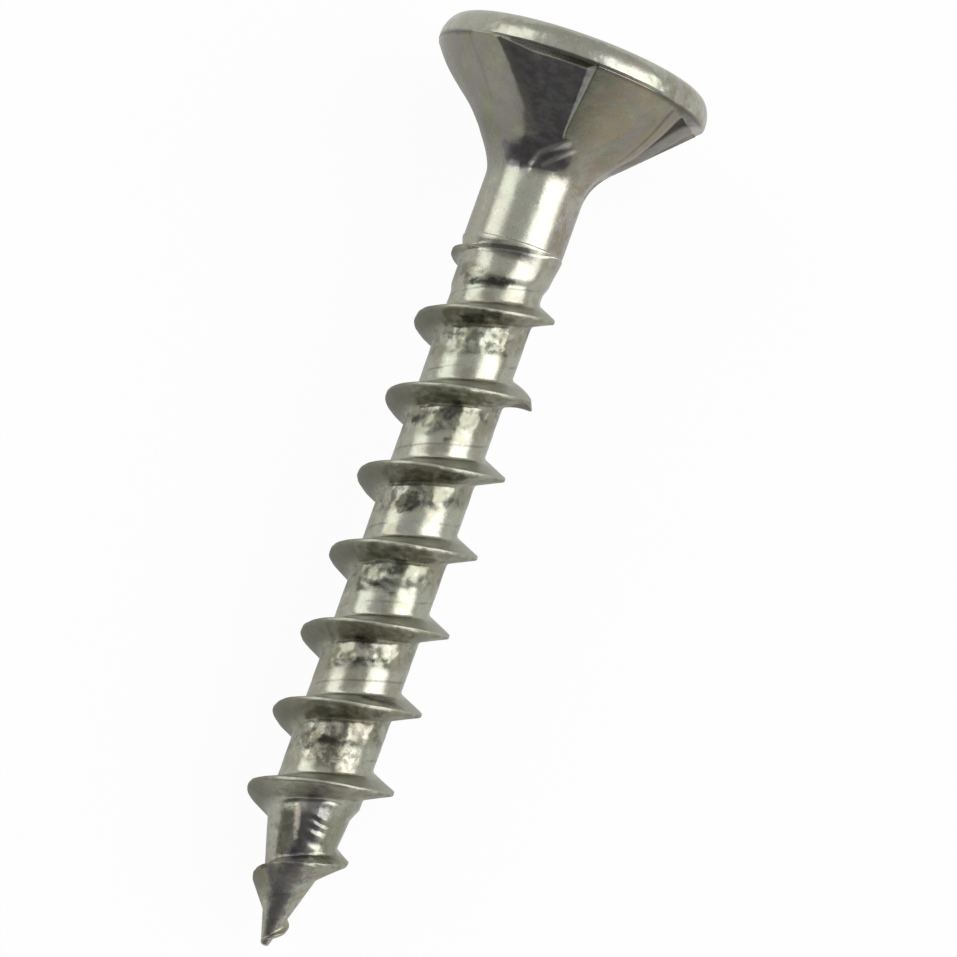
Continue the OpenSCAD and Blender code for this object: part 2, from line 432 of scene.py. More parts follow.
def outline_at(z, a):
    """Radius of the underside with its pockets, and how far the point is into
    one, from 0 to 1."""
    land = land_at(z, a)
    roof = CREASE_R - (CREASE_Z - z) * ROOF_SLOPE
    swing = math.radians(np.interp(z, SWING_Z, SWING))
    result = land
    inside = 0 * a
    for begin, end, slope, deep, lean in POCKETS:
        sunk = np.clip(deep - (POCKET_TOP - z) * POCKET_FALL, SHALLOW, None)
        floor = land - sunk * ease((z - SHALLOW_END) / SHALLOW_END_RUN)
        begin = facing(begin) + math.radians(lean) * np.clip(CREASE_Z - z, 0, MOST_LEAN_H)
        end = facing(end) + swing
        off = wrapped(a - (begin + end) / 2)
        half = (end - begin) / 2
        from_begin = (off + half) * land
        to_end = (half - off) * land
        cut = np.minimum(from_begin * slope, to_end * WALL_SLOPE)
        rise = np.maximum(land - cut, roof)
        result = np.minimum(result, smooth_max(floor, rise, POCKET_SOFT))
        inside = np.maximum(inside, ease(from_begin / SHADE_START) * ease(to_end / SHADE_END))
    inside = inside * ease((z - SHADE_FOOT_Z) / SHADE_FOOT) * ease((SHADE_ROOF_Z - z) / SHADE_ROOF)
    return smooth_min(result, land, POCKET_SOFT), inside


# Angles are drawn together at the walls, where the detail is
WALL_CROWD = 0.07
WALLS = 2 * len(POCKETS)
WALL_FACING = facing(7)
CROWD_Z = 23.9
CROWD_RUN = 1.3
even = angle[-1] + 2 * math.pi * np.arange(HEAD_STEPS) / HEAD_STEPS
crowded = even - WALL_CROWD * np.sin(WALLS * (even - WALL_FACING))
# The first rings step down from the lead's lip: how high each lies over the
# lead, and how far it stands out from the shank
LIP_RINGS = ((0.035, LIP), (0.05, 0.008), (0.07, 0.0), (0.1, -0.004), (0.15, -0.002))
SHANK_RINGS = 14
SEAT_RINGS = 44
ROOF_RINGS = 10
HEAD_UNEVEN = 0.004
HEAD_UNEVEN_Z = 25.4
ring_heights = np.concatenate(
    [
        [LEAD_END + over_lead for over_lead, _ in LIP_RINGS],
        np.linspace(LEAD_END + 0.24, NECK_Z + 0.1, SHANK_RINGS),
        np.linspace(NECK_Z + 0.16, POCKET_TOP - 0.12, SEAT_RINGS),
        np.linspace(POCKET_TOP - 0.1, CREASE_Z - 0.01, ROOF_RINGS),
    ]
)
rings = []
depths = []
for i, z in enumerate(ring_heights):
    around = even + (crowded - even) * ease((z - CROWD_Z) / CROWD_RUN)
    r, depth = outline_at(z, around)
    r = r + (LIP_RINGS[i][1] if i < len(LIP_RINGS) else 0)
    uneven = HEAD_UNEVEN * ripple(around * 3, z * 2.0, 2) * ease(z - HEAD_UNEVEN_Z)
    rings.append(add_points(r + uneven, around, z))
    depths.append((rings[-1], depth))


def bridge(ring_list):
    """Joins each ring of the head to the next."""
    for low_ring, high_ring in zip(ring_list, ring_list[1:]):
        for i in range(HEAD_STEPS):
            k = (i + 1) % HEAD_STEPS
            faces.append((low_ring + i, low_ring + k, high_ring + k, high_ring + i))


bridge(rings)

# The first ring has two points for each step of the thread's last row
last = rows - 1
first = rings[0]
for i in range(STEPS):
    a0, a1 = row_point(last + i, 0), row_point(last + i + 1, 0)
    b0, b1, b2 = first + 2 * i, first + 2 * i + 1, first + (2 * i + 2) % HEAD_STEPS
    if i == 0:
        chain = [row_point(last, j) for j in range(across)] + [row_point(last + STEPS, 0), b0]
        for p, q in zip(chain, chain[1:]):
            faces.append((q, p, b1))
    else:
        faces.append((a0, b1, b0))
    faces.append((a0, a1, b1))
    faces.append((a1, b2, b1))

# The rim and the top face
# Headed in the same blow: the rim stands a hair proud of the underside, rounds
# over into the flat top, and carries small dents from handling.
RIM_W = 0.52
RIM_EDGE = 0.1
RIM_UP = SCREW_L - CREASE_Z - RIM_EDGE
RIM_PARTS = 17
RIM_START = (
    (CREASE_R + 0.03, CREASE_Z),
    (HEAD_R - 0.025, CREASE_Z + 0.015),
    (HEAD_R - 0.01, CREASE_Z + 0.05),
)
RIM_DENTS = 0.0072
RIM_NICKS = 0.004
FACE_IN_R = 2.25
FACE_PARTS = 12
FACE_UNEVEN = 0.002
FACE_UNEVEN_R = 3.9
FACE_UNEVEN_RUN = 0.3
rim = [add_points(r, crowded, z) for r, z in RIM_START]
for b in np.linspace(0, math.pi / 2, RIM_PARTS):
    r = HEAD_R - RIM_W * (1 - math.cos(b))
    z = CREASE_Z + RIM_EDGE + RIM_UP * math.sin(b)
    dent = RIM_DENTS * ripple(crowded * 5, z * 3.0, 6)
    dent = dent + RIM_NICKS * ripple(crowded * 16, z * 9.0, 7, 2)
    rim.append(add_points(r + dent * math.cos(b), crowded, z))
for r in np.linspace(HEAD_R - RIM_W - 0.15, FACE_IN_R, FACE_PARTS):
    uneven = FACE_UNEVEN * ripple(crowded * 3, r * 4, 9)
    uneven = uneven * ease((FACE_UNEVEN_R - r) / FACE_UNEVEN_RUN)
    rim.append(add_points(r, crowded, SCREW_L + uneven))
bridge([rings[-1]] + rim)

# The drive recess
# A six-lobe socket punched into the head, with a small chamfer at its mouth
# and a shallow cone at its foot.
LOBE_C = 1.66
LOBE_R = 0.3
RIB_IN = 1.41
RECESS_H = 2.0
RECESS_PARTS = 7
DRAFT = 0.01
# How far the chamfer's rings stand out from the socket, and how deep they are
MOUTH = ((0.13, 0.0), (0.1, 0.015), (0.03, 0.1), (0.0, 0.15))
# The foot's rings, by radius and by depth below the socket's end
FOOT = ((1.32, 0.03), (1.25, 0.06), (0.9, 0.24), (0.5, 0.44), (0.15, 0.62))
FOOT_H = 0.68
LOBE_HALF = math.pi / 6
rib_r = (
    LOBE_C**2 + RIB_IN**2 - 2 * LOBE_C * RIB_IN * math.cos(LOBE_HALF) - LOBE_R**2
) / (2 * (LOBE_R - RIB_IN + LOBE_C * math.cos(LOBE_HALF)))


def lobe_outline(a):
    """Radius of the six-lobe outline at angle a: round lobes that meet round
    ribs at a tangent."""
    rib_c = RIB_IN + rib_r
    meet = math.atan2(rib_c * math.sin(LOBE_HALF), rib_c * math.cos(LOBE_HALF) - LOBE_C)
    limit = math.atan2(LOBE_R * math.sin(meet), LOBE_C + LOBE_R * math.cos(meet))
    d = np.abs((a + LOBE_HALF) % (2 * LOBE_HALF) - LOBE_HALF)
    lobe = LOBE_C * np.cos(d) + np.sqrt(np.clip(LOBE_R**2 - (LOBE_C * np.sin(d)) ** 2, 0, None))
    e = LOBE_HALF - d
    rib = rib_c * np.cos(e) - np.sqrt(np.clip(rib_r**2 - (rib_c * np.sin(e)) ** 2, 0, None))
    return np.where(d <= limit, lobe, rib)


socket = lobe_outline(even - angle[-1])
recess = [rim[-1]]
for grow, depth in MOUTH:
    recess.append(add_points(socket + grow, even, SCREW_L - depth))
for depth in np.linspace(2 * MOUTH[-1][1], RECESS_H, RECESS_PARTS):
    recess.append(add_points(socket - DRAFT * depth, even, SCREW_L - depth))
for r, depth in FOOT:
    recess.append(add_points(r, even, SCREW_L - RECESS_H - depth))
bridge(recess)
foot_id = add_points(0.0, 0.0, SCREW_L - RECESS_H - FOOT_H)
for i in range(HEAD_STEPS):
    faces.append((recess[-1] + i, recess[-1] + (i + 1) % HEAD_STEPS, foot_id))

# The finished blank
# One piece of steel, so all its surfaces are one skin. The shank's lower edge
# came out not quite square, and the rim sags above the right pocket.
EDGE_SKEW = 0.09
EDGE_HALF = 1.1
SAG = 0.12
SAG_SIDE = 68
SAG_HALF = 36
SAG_HALF_H = 0.5


def lay_down(x, away, z):
    """Points of the upright screw, in millimetres, as it lies, in metres."""
    local = np.stack([x, away, z], axis=-1) * MM
    return local @ np.array([right, -front, axis]) + np.array(tip)


every = np.concatenate(points)
every[:, 2] += EDGE_SKEW * every[:, 0] / SHANK_R * hump((every[:, 2] - LEAD_END) / EDGE_HALF)
from_pocket = np.degrees(np.arctan2(every[:, 0], -every[:, 1])) - SAG_SIDE
every[:, 2] -= SAG * hump(from_pocket / SAG_HALF) * hump((every[:, 2] - CREASE_Z) / SAG_HALF_H)
mesh = bpy.data.meshes.new("screw")
mesh.from_pydata(lay_down(every[:, 0], every[:, 1], every[:, 2]).tolist(), [], faces)
mesh.shade_smooth()
screw = bpy.data.objects.new("zinc_screw", mesh)
bpy.context.scene.collection.objects.link(screw)

# Marks
# Rolling, pressing and handling left dark and bright marks; other lines here place
# painted shade, painted highlights and painted reflections. Each is a line between
# two places, given by the side in degrees and the height, with half its width, and
# the mesh keeps how far each point is from the nearest line's edge.
FAR = 1.0
side_of = np.arctan2(every[:, 0], -every[:, 1])
radius_of = np.hypot(every[:, 0], every[:, 1])


def lay_marks(name, radius, lines):
    """Marks at about one radius; it turns their degrees into millimetres."""
    unrolled = np.stack([side_of * radius, every[:, 2]], axis=-1)
    nearest = np.full(len(every), FAR)
    for start, end, half_wide in lines:
        start = np.array([math.radians(start[0]) * radius, start[1]])
        run = np.array([math.radians(end[0]) * radius, end[1]]) - start
        travelled = np.clip((unrolled - start) @ run / (run @ run), 0, 1)
        missed = unrolled - start - travelled[:, None] * run
        nearest = np.minimum(nearest, np.hypot(missed[:, 0], missed[:, 1]) - half_wide)
    nearest = np.where(np.abs(radius_of - radius) < FAR, nearest, FAR)
    mesh.attributes.new(name, "FLOAT", "POINT").data.foreach_set("value", nearest)


# Dark marks on the wire, from the lead down to the point
lay_marks("marks", CORE_R, (
    ((-35, 21.88), (15, 22.22), 0.07), ((-14, 22.0), (3, 22.12), 0.14),
    ((-3, 20.95), (8, 21.0), 0.09), ((-24, 20.6), (-6, 20.72), 0.08),
    ((-47, 20.08), (-23, 20.18), 0.05), ((26, 20.57), (27, 20.2), 0.04),
    ((27, 20.2), (41, 20.03), 0.03), ((-53, 17.12), (4, 17.92), 0.08),
    ((-6, 17.6), (2, 17.85), 0.18), ((2, 16.83), (5, 16.87), 0.06),
    ((8, 15.58), (28, 15.72), 0.12), ((30, 14.95), (40, 15.08), 0.05),
    ((-20, 14.84), (-4, 14.95), 0.06), ((-28, 14.62), (-8, 14.75), 0.09),
    ((-24, 14.48), (-13, 14.6), 0.17), ((-30, 14.38), (-12, 14.5), 0.07),
    ((-13, 14.32), (-6, 14.62), 0.09), ((-26, 14.2), (-13, 14.26), 0.05),
    ((-6, 12.3), (2, 12.5), 0.16), ((-37, 11.8), (3, 11.65), 0.07),
    ((-16, 9.93), (0, 10.0), 0.1), ((-14, 9.3), (2, 9.42), 0.1),
    ((-37, 9.1), (26, 9.56), 0.06), ((10, 8.22), (46, 8.36), 0.07),
    ((-18, 6.6), (-2, 6.72), 0.14), ((-38, 2.62), (42, 3.16), 0.05),
    ((-50, 2.25), (17, 2.72), 0.035),
))
# A bright scuff beside the point
lay_marks("scuff", 1.2, (
    ((-20, 4.35), (-17, 4.05), 0.05), ((-16, 3.95), (-13, 3.7), 0.06),
    ((-13, 3.6), (-11, 3.38), 0.035),
))
# Folds on the neck, where a pocket's end wall was pressed over, and round them a
# patch of painted dark reflection
lay_marks("folds", 1.78, (
    ((13, 26.85), (-7, 26.35), 0.08), ((-7, 26.35), (-12, 25.95), 0.08),
    ((21, 26.72), (1, 26.05), 0.07),
))
lay_marks("patch", 1.75, (
    ((-35, 26.05), (15, 26.34), 0.33), ((-46, 26.36), (-30, 26.2), 0.13),
    ((-20, 26.5), (6, 26.75), 0.25),
))
# A painted shade on the lead's upper step
lay_marks("upper_step", SHANK_R, (((-22, 23.15), (16, 23.25), 0.13),))
# The crease under the rim and the edge of the right pocket, for painted shade, and a seam on the
# left
lay_marks("crease", 4.4, (
    ((-179, CREASE_Z), (-52, CREASE_Z), 0.05), ((-30, CREASE_Z), (8, CREASE_Z), 0.06),
    ((8, 29.06), (36, 29.06), 0.03), ((36, 29.08), (52, 29.02), 0.06),
    ((52, 29.02), (74, 28.94), 0.1),
))
lay_marks("edge", 3.4, (((50.5, 28.85), (66, 27.1), 0.05),))
lay_marks("seam", 3.6, (((-53, 29.0), (-50, 27.4), 0.07),))

# The zinc
# Bright zinc, plated on the finished screw in a tumbling drum: a greenish grey
# shine, dull on the flanks, with cloudy brown and lilac tints, drawn lines that run
# with the thread, and scuffs. Shade and reflections are painted into its colour on
# the flanks, under the head, in the pockets and crease, on the neck and at the burr.
GREEN_GREY = (0.45, 0.465, 0.38)
WARM_GREY = (0.46, 0.445, 0.375)
LILAC = (0.4, 0.365, 0.355)
DULL_LILAC = (0.27, 0.235, 0.23)
DULL_VIOLET = (0.27, 0.235, 0.24)
TAN = (0.3, 0.275, 0.2)
BROWN = (0.3, 0.245, 0.17)
OLIVE = (0.2, 0.2, 0.13)
DARK = (0.09, 0.088, 0.082)
GRIME = (0.065, 0.062, 0.047)
SPECKLE = (0.13, 0.11, 0.075)
# Painted dark reflection for the band in the right pocket
BAND_SHADE = (0.13, 0.125, 0.105)
# A dark ink colour, also used for painted shade in the pockets and on the neck
INK_AND_SHADE = (0.15, 0.14, 0.16)
PALE = (0.75, 0.75, 0.68)
ROSY = (0.85, 0.72, 0.63)

zinc = bpy.data.materials.new("zinc")
zinc.use_nodes = True
nodes, links = zinc.node_tree.nodes, zinc.node_tree.links
shader = nodes["Principled BSDF"]

# The zinc keeps its pattern by where it was on the upright screw, and by how
# far each point is into a pocket or up a flank of the thread
FLANK_TALL = 0.3
in_pocket = np.zeros(len(every))
for start, depth in depths:
    in_pocket[start : start + HEAD_STEPS] = depth
on_ridge = slice(0, rows * across)
up_flank = np.clip(ups / FLANK_TALL, 0, 1) * np.clip(height / FLANK_TALL, 0, 1)[:, None]
on_flank = np.zeros(len(every))
on_flank[on_ridge] = up_flank.ravel()
below_crest = np.zeros(len(every))
below_crest[on_ridge] = (offsets < 0).ravel()
mesh.attributes.new("upright", "FLOAT_VECTOR", "POINT").data.foreach_set("vector", every.ravel())
for name, values in (("pocket", in_pocket), ("flank", on_flank), ("below", below_crest)):
    mesh.attributes.new(name, "FLOAT", "POINT").data.foreach_set("value", values)


def feed(tree, target, value):
    """Links an output to an input, or sets the input itself."""
    if isinstance(value, bpy.types.NodeSocket):
        tree.links.new(value, target)
    else:
        target.default_value = value


def maths(tree, operation, *values):
    made = tree.nodes.new("ShaderNodeMath")
    made.operation = operation
    for socket, value in zip(made.inputs, values):
        feed(tree, socket, value)
    return made.outputs[0]


def between(tree, value, start, end):
    """A smooth step from 0 at start to 1 at end; it falls if start is higher."""
    made = tree.nodes.new("ShaderNodeMapRange")
    made.interpolation_type = "SMOOTHSTEP"
    feed(tree, made.inputs["Value"], value)
    feed(tree, made.inputs["From Min"], start)
    feed(tree, made.inputs["From Max"], end)
    return made.outputs["Result"]


def attribute(name, output):
    made = nodes.new("ShaderNodeAttribute")
    made.attribute_name = name
    return made.outputs[output]


def times(*values):
    result = values[0]
    for value in values[1:]:
        result = maths(zinc.node_tree, "MULTIPLY", result, value)
    return result


def plus(*values):
    result = values[0]
    for value in values[1:]:
        result = maths(zinc.node_tree, "ADD", result, value)
    return result


def less(value, taken):
    return maths(zinc.node_tree, "SUBTRACT", value, taken)


def step(value, start, end):
    return between(zinc.node_tree, value, start, end)


place = attribute("upright", "Vector")
pocket = attribute("pocket", "Fac")
flank = attribute("flank", "Fac")
below = attribute("below", "Fac")
apart = nodes.new("ShaderNodeSeparateXYZ")
links.new(place, apart.inputs[0])
up = apart.outputs["Z"]
# The side is 0 towards the camera, and positive to the right, in radians
side = maths(zinc.node_tree, "ARCTAN2", apart.outputs["X"], times(apart.outputs["Y"], -1.0))
# How far a point leans to the right, from -1 to 1 round the screw
lean = maths(zinc.node_tree, "SINE", side)

# Clouds: noise turned into patches, which cover less at a higher level
clouds = bpy.data.node_groups.new("clouds", "ShaderNodeTree")
for name in ("Place", "Stretch"):
    clouds.interface.new_socket(name, in_out="INPUT", socket_type="NodeSocketVector")
for name in ("Size", "Level", "Softness", "Detail"):
    clouds.interface.new_socket(name, in_out="INPUT", socket_type="NodeSocketFloat")
for name in ("Patches", "Noise"):
    clouds.interface.new_socket(name, in_out="OUTPUT", socket_type="NodeSocketFloat")
given = clouds.nodes.new("NodeGroupInput").outputs
handed = clouds.nodes.new("NodeGroupOutput").inputs
stretched = clouds.nodes.new("ShaderNodeVectorMath")
stretched.operation = "MULTIPLY"
clouds.links.new(given["Place"], stretched.inputs[0])
clouds.links.new(given["Stretch"], stretched.inputs[1])
noise = clouds.nodes.new("ShaderNodeTexNoise")
noise.inputs["Roughness"].default_value = 0.6
clouds.links.new(stretched.outputs[0], noise.inputs["Vector"])
clouds.links.new(maths(clouds, "DIVIDE", 1.0, given["Size"]), noise.inputs["Scale"])
clouds.links.new(given["Detail"], noise.inputs["Detail"])
soft_start = maths(clouds, "SUBTRACT", given["Level"], given["Softness"])
soft_end = maths(clouds, "ADD", given["Level"], given["Softness"])
patches = between(clouds, noise.outputs["Fac"], soft_start, soft_end)
clouds.links.new(patches, handed["Patches"])
clouds.links.new(noise.outputs["Fac"], handed["Noise"])


def cloud_node(size, shift, detail, level=0.5, softness=0.1, stretch=(1, 1, 1)):
    """The clouds over the whole screw; shift moves the pattern along."""
    made = nodes.new("ShaderNodeGroup")
    made.node_tree = clouds
    moved = nodes.new("ShaderNodeVectorMath")
    moved.operation = "ADD"
    moved.inputs[1].default_value = (shift, shift * 0.7, shift * 1.3)
    links.new(place, moved.inputs[0])
    links.new(moved.outputs[0], made.inputs["Place"])
    made.inputs["Stretch"].default_value = stretch
    made.inputs["Size"].default_value = size
    made.inputs["Level"].default_value = level
    made.inputs["Softness"].default_value = softness
    made.inputs["Detail"].default_value = detail
    return made


def cloud(size, shift=0.0, detail=3.0, **patch):
    """Patches about size millimetres wide."""
    return cloud_node(size, shift, detail, **patch).outputs["Patches"]


def unevenness(size, shift, detail=1.0):
    """The same noise as it is, round 0.5."""
    return cloud_node(size, shift, detail).outputs["Noise"]


def tinted(colour, tint, *masks, strength=1.0):
    """Lays a tint over a colour where all the masks are near 1."""
    mix = nodes.new("ShaderNodeMix")
    mix.data_type = "RGBA"
    feed(zinc.node_tree, mix.inputs["Factor"], times(*masks, strength))
    for socket, value in ((mix.inputs[6], colour), (mix.inputs[7], tint)):
        is_socket = isinstance(value, bpy.types.NodeSocket)
        feed(zinc.node_tree, socket, value if is_socket else (*value, 1))
    return mix.outputs[2]


# A spot: an oval patch round one place on the surface, with a ragged edge
spots = bpy.data.node_groups.new("spot", "ShaderNodeTree")
for name in ("Side", "Up", "Rag", "Mid side", "Mid up", "Half wide", "Half high", "Softness"):
    spots.interface.new_socket(name, in_out="INPUT", socket_type="NodeSocketFloat")
spots.interface.new_socket("Mask", in_out="OUTPUT", socket_type="NodeSocketFloat")
given = spots.nodes.new("NodeGroupInput").outputs
handed = spots.nodes.new("NodeGroupOutput").inputs
squares = []
for at, middle_at, half in (("Side", "Mid side", "Half wide"), ("Up", "Mid up", "Half high")):
    off = maths(spots, "SUBTRACT", given[at], given[middle_at])
    off = maths(spots, "DIVIDE", off, given[half])
    squares.append(maths(spots, "MULTIPLY", off, off))
reach = maths(spots, "SQRT", maths(spots, "ADD", *squares))
reach = maths(spots, "ADD", reach, given["Rag"])
soft_start = maths(spots, "ADD", 1.0, given["Softness"])
soft_end = maths(spots, "SUBTRACT", 1.0, given["Softness"])
spots.links.new(between(spots, reach, soft_start, soft_end), handed["Mask"])

raggedness = less(unevenness(0.35, shift=3.1, detail=4.0), 0.5)


def spot(degrees, height, half_degrees, half_height, softness, rag):
    """One spot, by its side in degrees and its height in millimetres."""
    made = nodes.new("ShaderNodeGroup")
    made.node_tree = spots
    links.new(side, made.inputs["Side"])
    links.new(up, made.inputs["Up"])
    links.new(times(raggedness, rag), made.inputs["Rag"])
    made.inputs["Mid side"].default_value = math.radians(degrees)
    made.inputs["Mid up"].default_value = height
    made.inputs["Half wide"].default_value = math.radians(half_degrees)
    made.inputs["Half high"].default_value = half_height
    made.inputs["Softness"].default_value = softness
    return made.outputs["Mask"]


def marked(name, softness, rag):
    """One set of marks, in millimetres of softness and raggedness."""
    return step(plus(attribute(name, "Fac"), times(raggedness, rag)), softness, -softness)


# How far up a turn of the thread each point is: 0 on a crest, 1 on the next
LINE_WANDER = 0.06
LINE_OFFSET = 0.25
turned = less(times(less(up, CREST_Z), 1 / PITCH), times(side, 0.5 / math.pi))
wander = times(less(unevenness(1.6, shift=7.7), 0.5), LINE_WANDER)
share_up = maths(zinc.node_tree, "FRACT", plus(turned, wander, LINE_OFFSET))
on_thread = times(step(up, 5.0, 5.4), step(up, 22.6, 22.2))


def drawn_line(share, half_wide):
    """A fine line that runs with the thread, a share of the way up a turn."""
    away = maths(zinc.node_tree, "ABSOLUTE", less(share_up, share))
    return times(step(away, half_wide, 0.0), on_thread)


colour = tinted(GREEN_GREY, WARM_GREY, cloud(1.5, softness=0.12))
# Brown and lilac clouds, mostly on the right side of the head and the shank
over_thread = step(up, 22.8, 23.4)
under_top = step(up, 29.98, 29.7)
right_side = times(step(lean, 0.48, 0.78), over_thread, under_top)
large = cloud(0.8, shift=2.0, softness=0.08)
colour = tinted(colour, LILAC, right_side, large, strength=0.85)
small = cloud(0.5, shift=5.0, level=0.54, softness=0.08)
colour = tinted(colour, BROWN, right_side, small, strength=0.7)
colour = tinted(colour, LILAC, cloud(0.7, shift=9.0, level=0.6, softness=0.05), strength=0.4)
# Towards both sides, as seen from the camera, the colour turns more olive, and
# on the rim the film is thicker
sideways = step(maths(zinc.node_tree, "ABSOLUTE", lean), 0.5, 0.8)
colour = tinted(colour, OLIVE, sideways, strength=0.2)
on_rim = step(up, 29.12, 29.22)
colour = tinted(colour, OLIVE, on_rim, cloud(0.45, shift=51.0, detail=4.0), strength=0.15)
# The seat under the rim is darkened with painted shade, with a brown and lilac film
# on the right, a violet one on the left, and a painted shade on the left of the neck
seat = times(step(up, 25.4, 27.2), step(up, 29.14, 29.08), less(1.0, pocket))
seat_shade = plus(0.58, times(cloud(0.8, shift=21.0, softness=0.15), 0.2))
colour = tinted(colour, OLIVE, seat, seat_shade)
seat_right = times(seat, step(lean, 0.1, 0.39))
film = cloud(0.7, shift=23.0, level=0.49, softness=0.08)
colour = tinted(colour, BROWN, seat_right, film, strength=0.8)
film = cloud(0.5, shift=43.0, level=0.55, softness=0.07)
colour = tinted(colour, DULL_LILAC, seat_right, film, strength=0.5)
seat_left = times(seat, step(lean, 0.1, -0.3))
film = cloud(0.9, shift=49.0, level=0.49)
colour = tinted(colour, DULL_VIOLET, seat_left, film, strength=0.6)
neck_left = times(step(lean, -0.3, -0.8), step(up, 25.2, 25.8), step(up, 27.4, 26.6))
colour = tinted(colour, DARK, neck_left, strength=0.3)
# Fine grain
colour = tinted(colour, DARK, cloud(0.09, detail=2.0, level=0.64, softness=0.06), strength=0.25)
grains = cloud(0.2, shift=25.0, detail=2.0, level=0.66, softness=0.08)
colour = tinted(colour, PALE, less(1.0, seat), grains, strength=0.25)
# The flanks are duller, and darkened with painted shade, most on the left lobes;
# under the crests, away from the far left, lie brown mottling and mottled painted shade
mottle = cloud(0.4, shift=1.0, detail=5.0, stretch=(1, 1, 1.6))
under = times(flank, below, step(lean, -0.95, -0.64))
lobe = times(flank, step(lean, -0.5, -0.97))
colour = tinted(colour, OLIVE, plus(times(flank, 0.15), times(lobe, 0.5)))
colour = tinted(colour, DARK, lobe, strength=0.4)
colour = tinted(colour, OLIVE, under, mottle, strength=0.12)
colour = tinted(colour, BROWN, under, cloud(0.5, shift=4.0, level=0.54), strength=0.4)
shades = cloud(0.5, shift=27.0, level=0.62, softness=0.08)
colour = tinted(colour, DARK, under, shades, strength=0.2)
# A painted black shadow on the burr's underside
burr_shadow = spot(86, 18.72, 24, 0.26, softness=0.25, rag=0.4)
colour = tinted(colour, DARK, below, flank, burr_shadow)
# Where the dies rolled the metal up, the wire beside the ridge is rough, and
# brown stains lie on the core
rolled = times(step(share_up, 0.42, 0.62), on_thread, less(1.0, lobe))
rough_patches = cloud(0.6, shift=6.0, detail=4.0, level=0.48, softness=0.08)
colour = tinted(colour, OLIVE, rolled, rough_patches, strength=0.6)
off_flank = less(1.0, times(flank, 0.7))
rough_patches = cloud(0.36, shift=29.0, level=0.56, softness=0.06)
colour = tinted(colour, DARK, rolled, off_flank, rough_patches, strength=0.6)
stains = cloud(0.8, shift=53.0, detail=2.0, level=0.55, softness=0.08)
colour = tinted(colour, TAN, on_thread, less(1.0, flank), stains, strength=0.55)
lines = times(drawn_line(0.33, 0.026), cloud(0.9, shift=41.0, level=0.48))
colour = tinted(colour, DARK, lines, strength=0.45)
marks = marked("marks", softness=0.07, rag=0.36)
smudged = step(unevenness(0.2, shift=35.0, detail=3.0), 0.3, 0.5)
marks = times(marks, plus(0.5, times(smudged, 0.5)))
colour = tinted(colour, GRIME, marks, strength=0.88)
speckled = spot(-5, 6.4, 46, 0.62, softness=0.3, rag=1.0)
speckles = cloud(0.2, shift=31.0, softness=0.08)
colour = tinted(colour, SPECKLE, speckled, speckles, strength=0.75)
# In the pockets a painted shade, and in a band of the right one a painted dark
# reflection, apart from the far half of the one on the right
before_back = step(side, 2.1, 2.05)
far_half = times(step(side, 1.18, 1.3), before_back, 0.7)
pocket_shade_share = plus(0.6, times(mottle, 0.25))
colour = tinted(colour, INK_AND_SHADE, pocket, less(1.0, far_half), pocket_shade_share)
pocket_band_shade = times(step(pocket, 0.2, 0.85), step(side, 0.8, 0.85), before_back, step(up, 26.5, 27.1))
pocket_band_shade = times(pocket_band_shade, less(1.0, far_half))
colour = tinted(colour, BAND_SHADE, pocket_band_shade, strength=0.9)
# A painted shade along the right pocket's edge
colour = tinted(colour, DARK, marked("edge", softness=0.05, rag=0.08), strength=0.7)
# A painted dark reflection round the folds on the neck
patch_share = plus(0.65, times(mottle, 0.25))
colour = tinted(colour, INK_AND_SHADE, marked("patch", softness=0.06, rag=0.25), patch_share)
folds = marked("folds", softness=0.07, rag=0.06)
# Painted highlights along the folds
colour = tinted(colour, PALE, folds, strength=0.45)
# A painted shade in the crease under the rim
colour = tinted(colour, DARK, marked("crease", softness=0.07, rag=0.1), strength=0.75)
seam = marked("seam", softness=0.07, rag=0.1)
colour = tinted(colour, DARK, seam, strength=0.2)
# A painted shade on the lead's upper step
colour = tinted(colour, DARK, marked("upper_step", softness=0.08, rag=0.2), strength=0.6)
# The point: an ink dark stripe, a rosy scuff, an olive shade on either side, and
# a dark, brown speckled tip
stripe = spot(4, 3.9, 15, 1.2, softness=0.35, rag=1.6)
colour = tinted(colour, INK_AND_SHADE, stripe, strength=0.7)
scuff = marked("scuff", softness=0.06, rag=0.3)
colour = tinted(colour, ROSY, scuff, strength=0.9)
for shade in (
    spot(-32, 3.6, 11, 1.0, softness=0.4, rag=1.5),
    spot(55, 4.0, 28, 1.0, softness=0.4, rag=2.0),
):
    colour = tinted(colour, OLIVE, shade, strength=0.6)
on_point = step(up, 5.2, 4.8)
specks = cloud(0.22, shift=45.0, level=0.6, softness=0.06)
colour = tinted(colour, DARK, on_point, specks, strength=0.35)
colour = tinted(colour, INK_AND_SHADE, spot(0, 1.4, 34, 1.4, softness=0.3, rag=2.0), strength=0.75)
near_tip = step(up, 3.0, 2.5)
specks = cloud(0.2, shift=33.0, detail=4.0, level=0.56, softness=0.06)
colour = tinted(colour, BROWN, near_tip, specks, strength=0.5)
links.new(colour, shader.inputs["Base Color"])
shader.inputs["Metallic"].default_value = 1.0
# The painted dark reflection in the right pocket's band also dims its mirrored light
links.new(tinted((1, 1, 1), DARK, pocket_band_shade), shader.inputs["Specular Tint"])

# How rough the bright zinc is, and what each of these adds
BRIGHT_ROUGH = 0.22
rough = BRIGHT_ROUGH
for mask, more in (
    (flank, 0.17), (rolled, 0.04), (near_tip, 0.08), (pocket_band_shade, 0.3), (scuff, 0.3),
    (cloud(0.6, shift=8.0, softness=0.2), 0.08),
):
    rough = plus(rough, times(mask, more))
links.new(rough, shader.inputs["Roughness"])

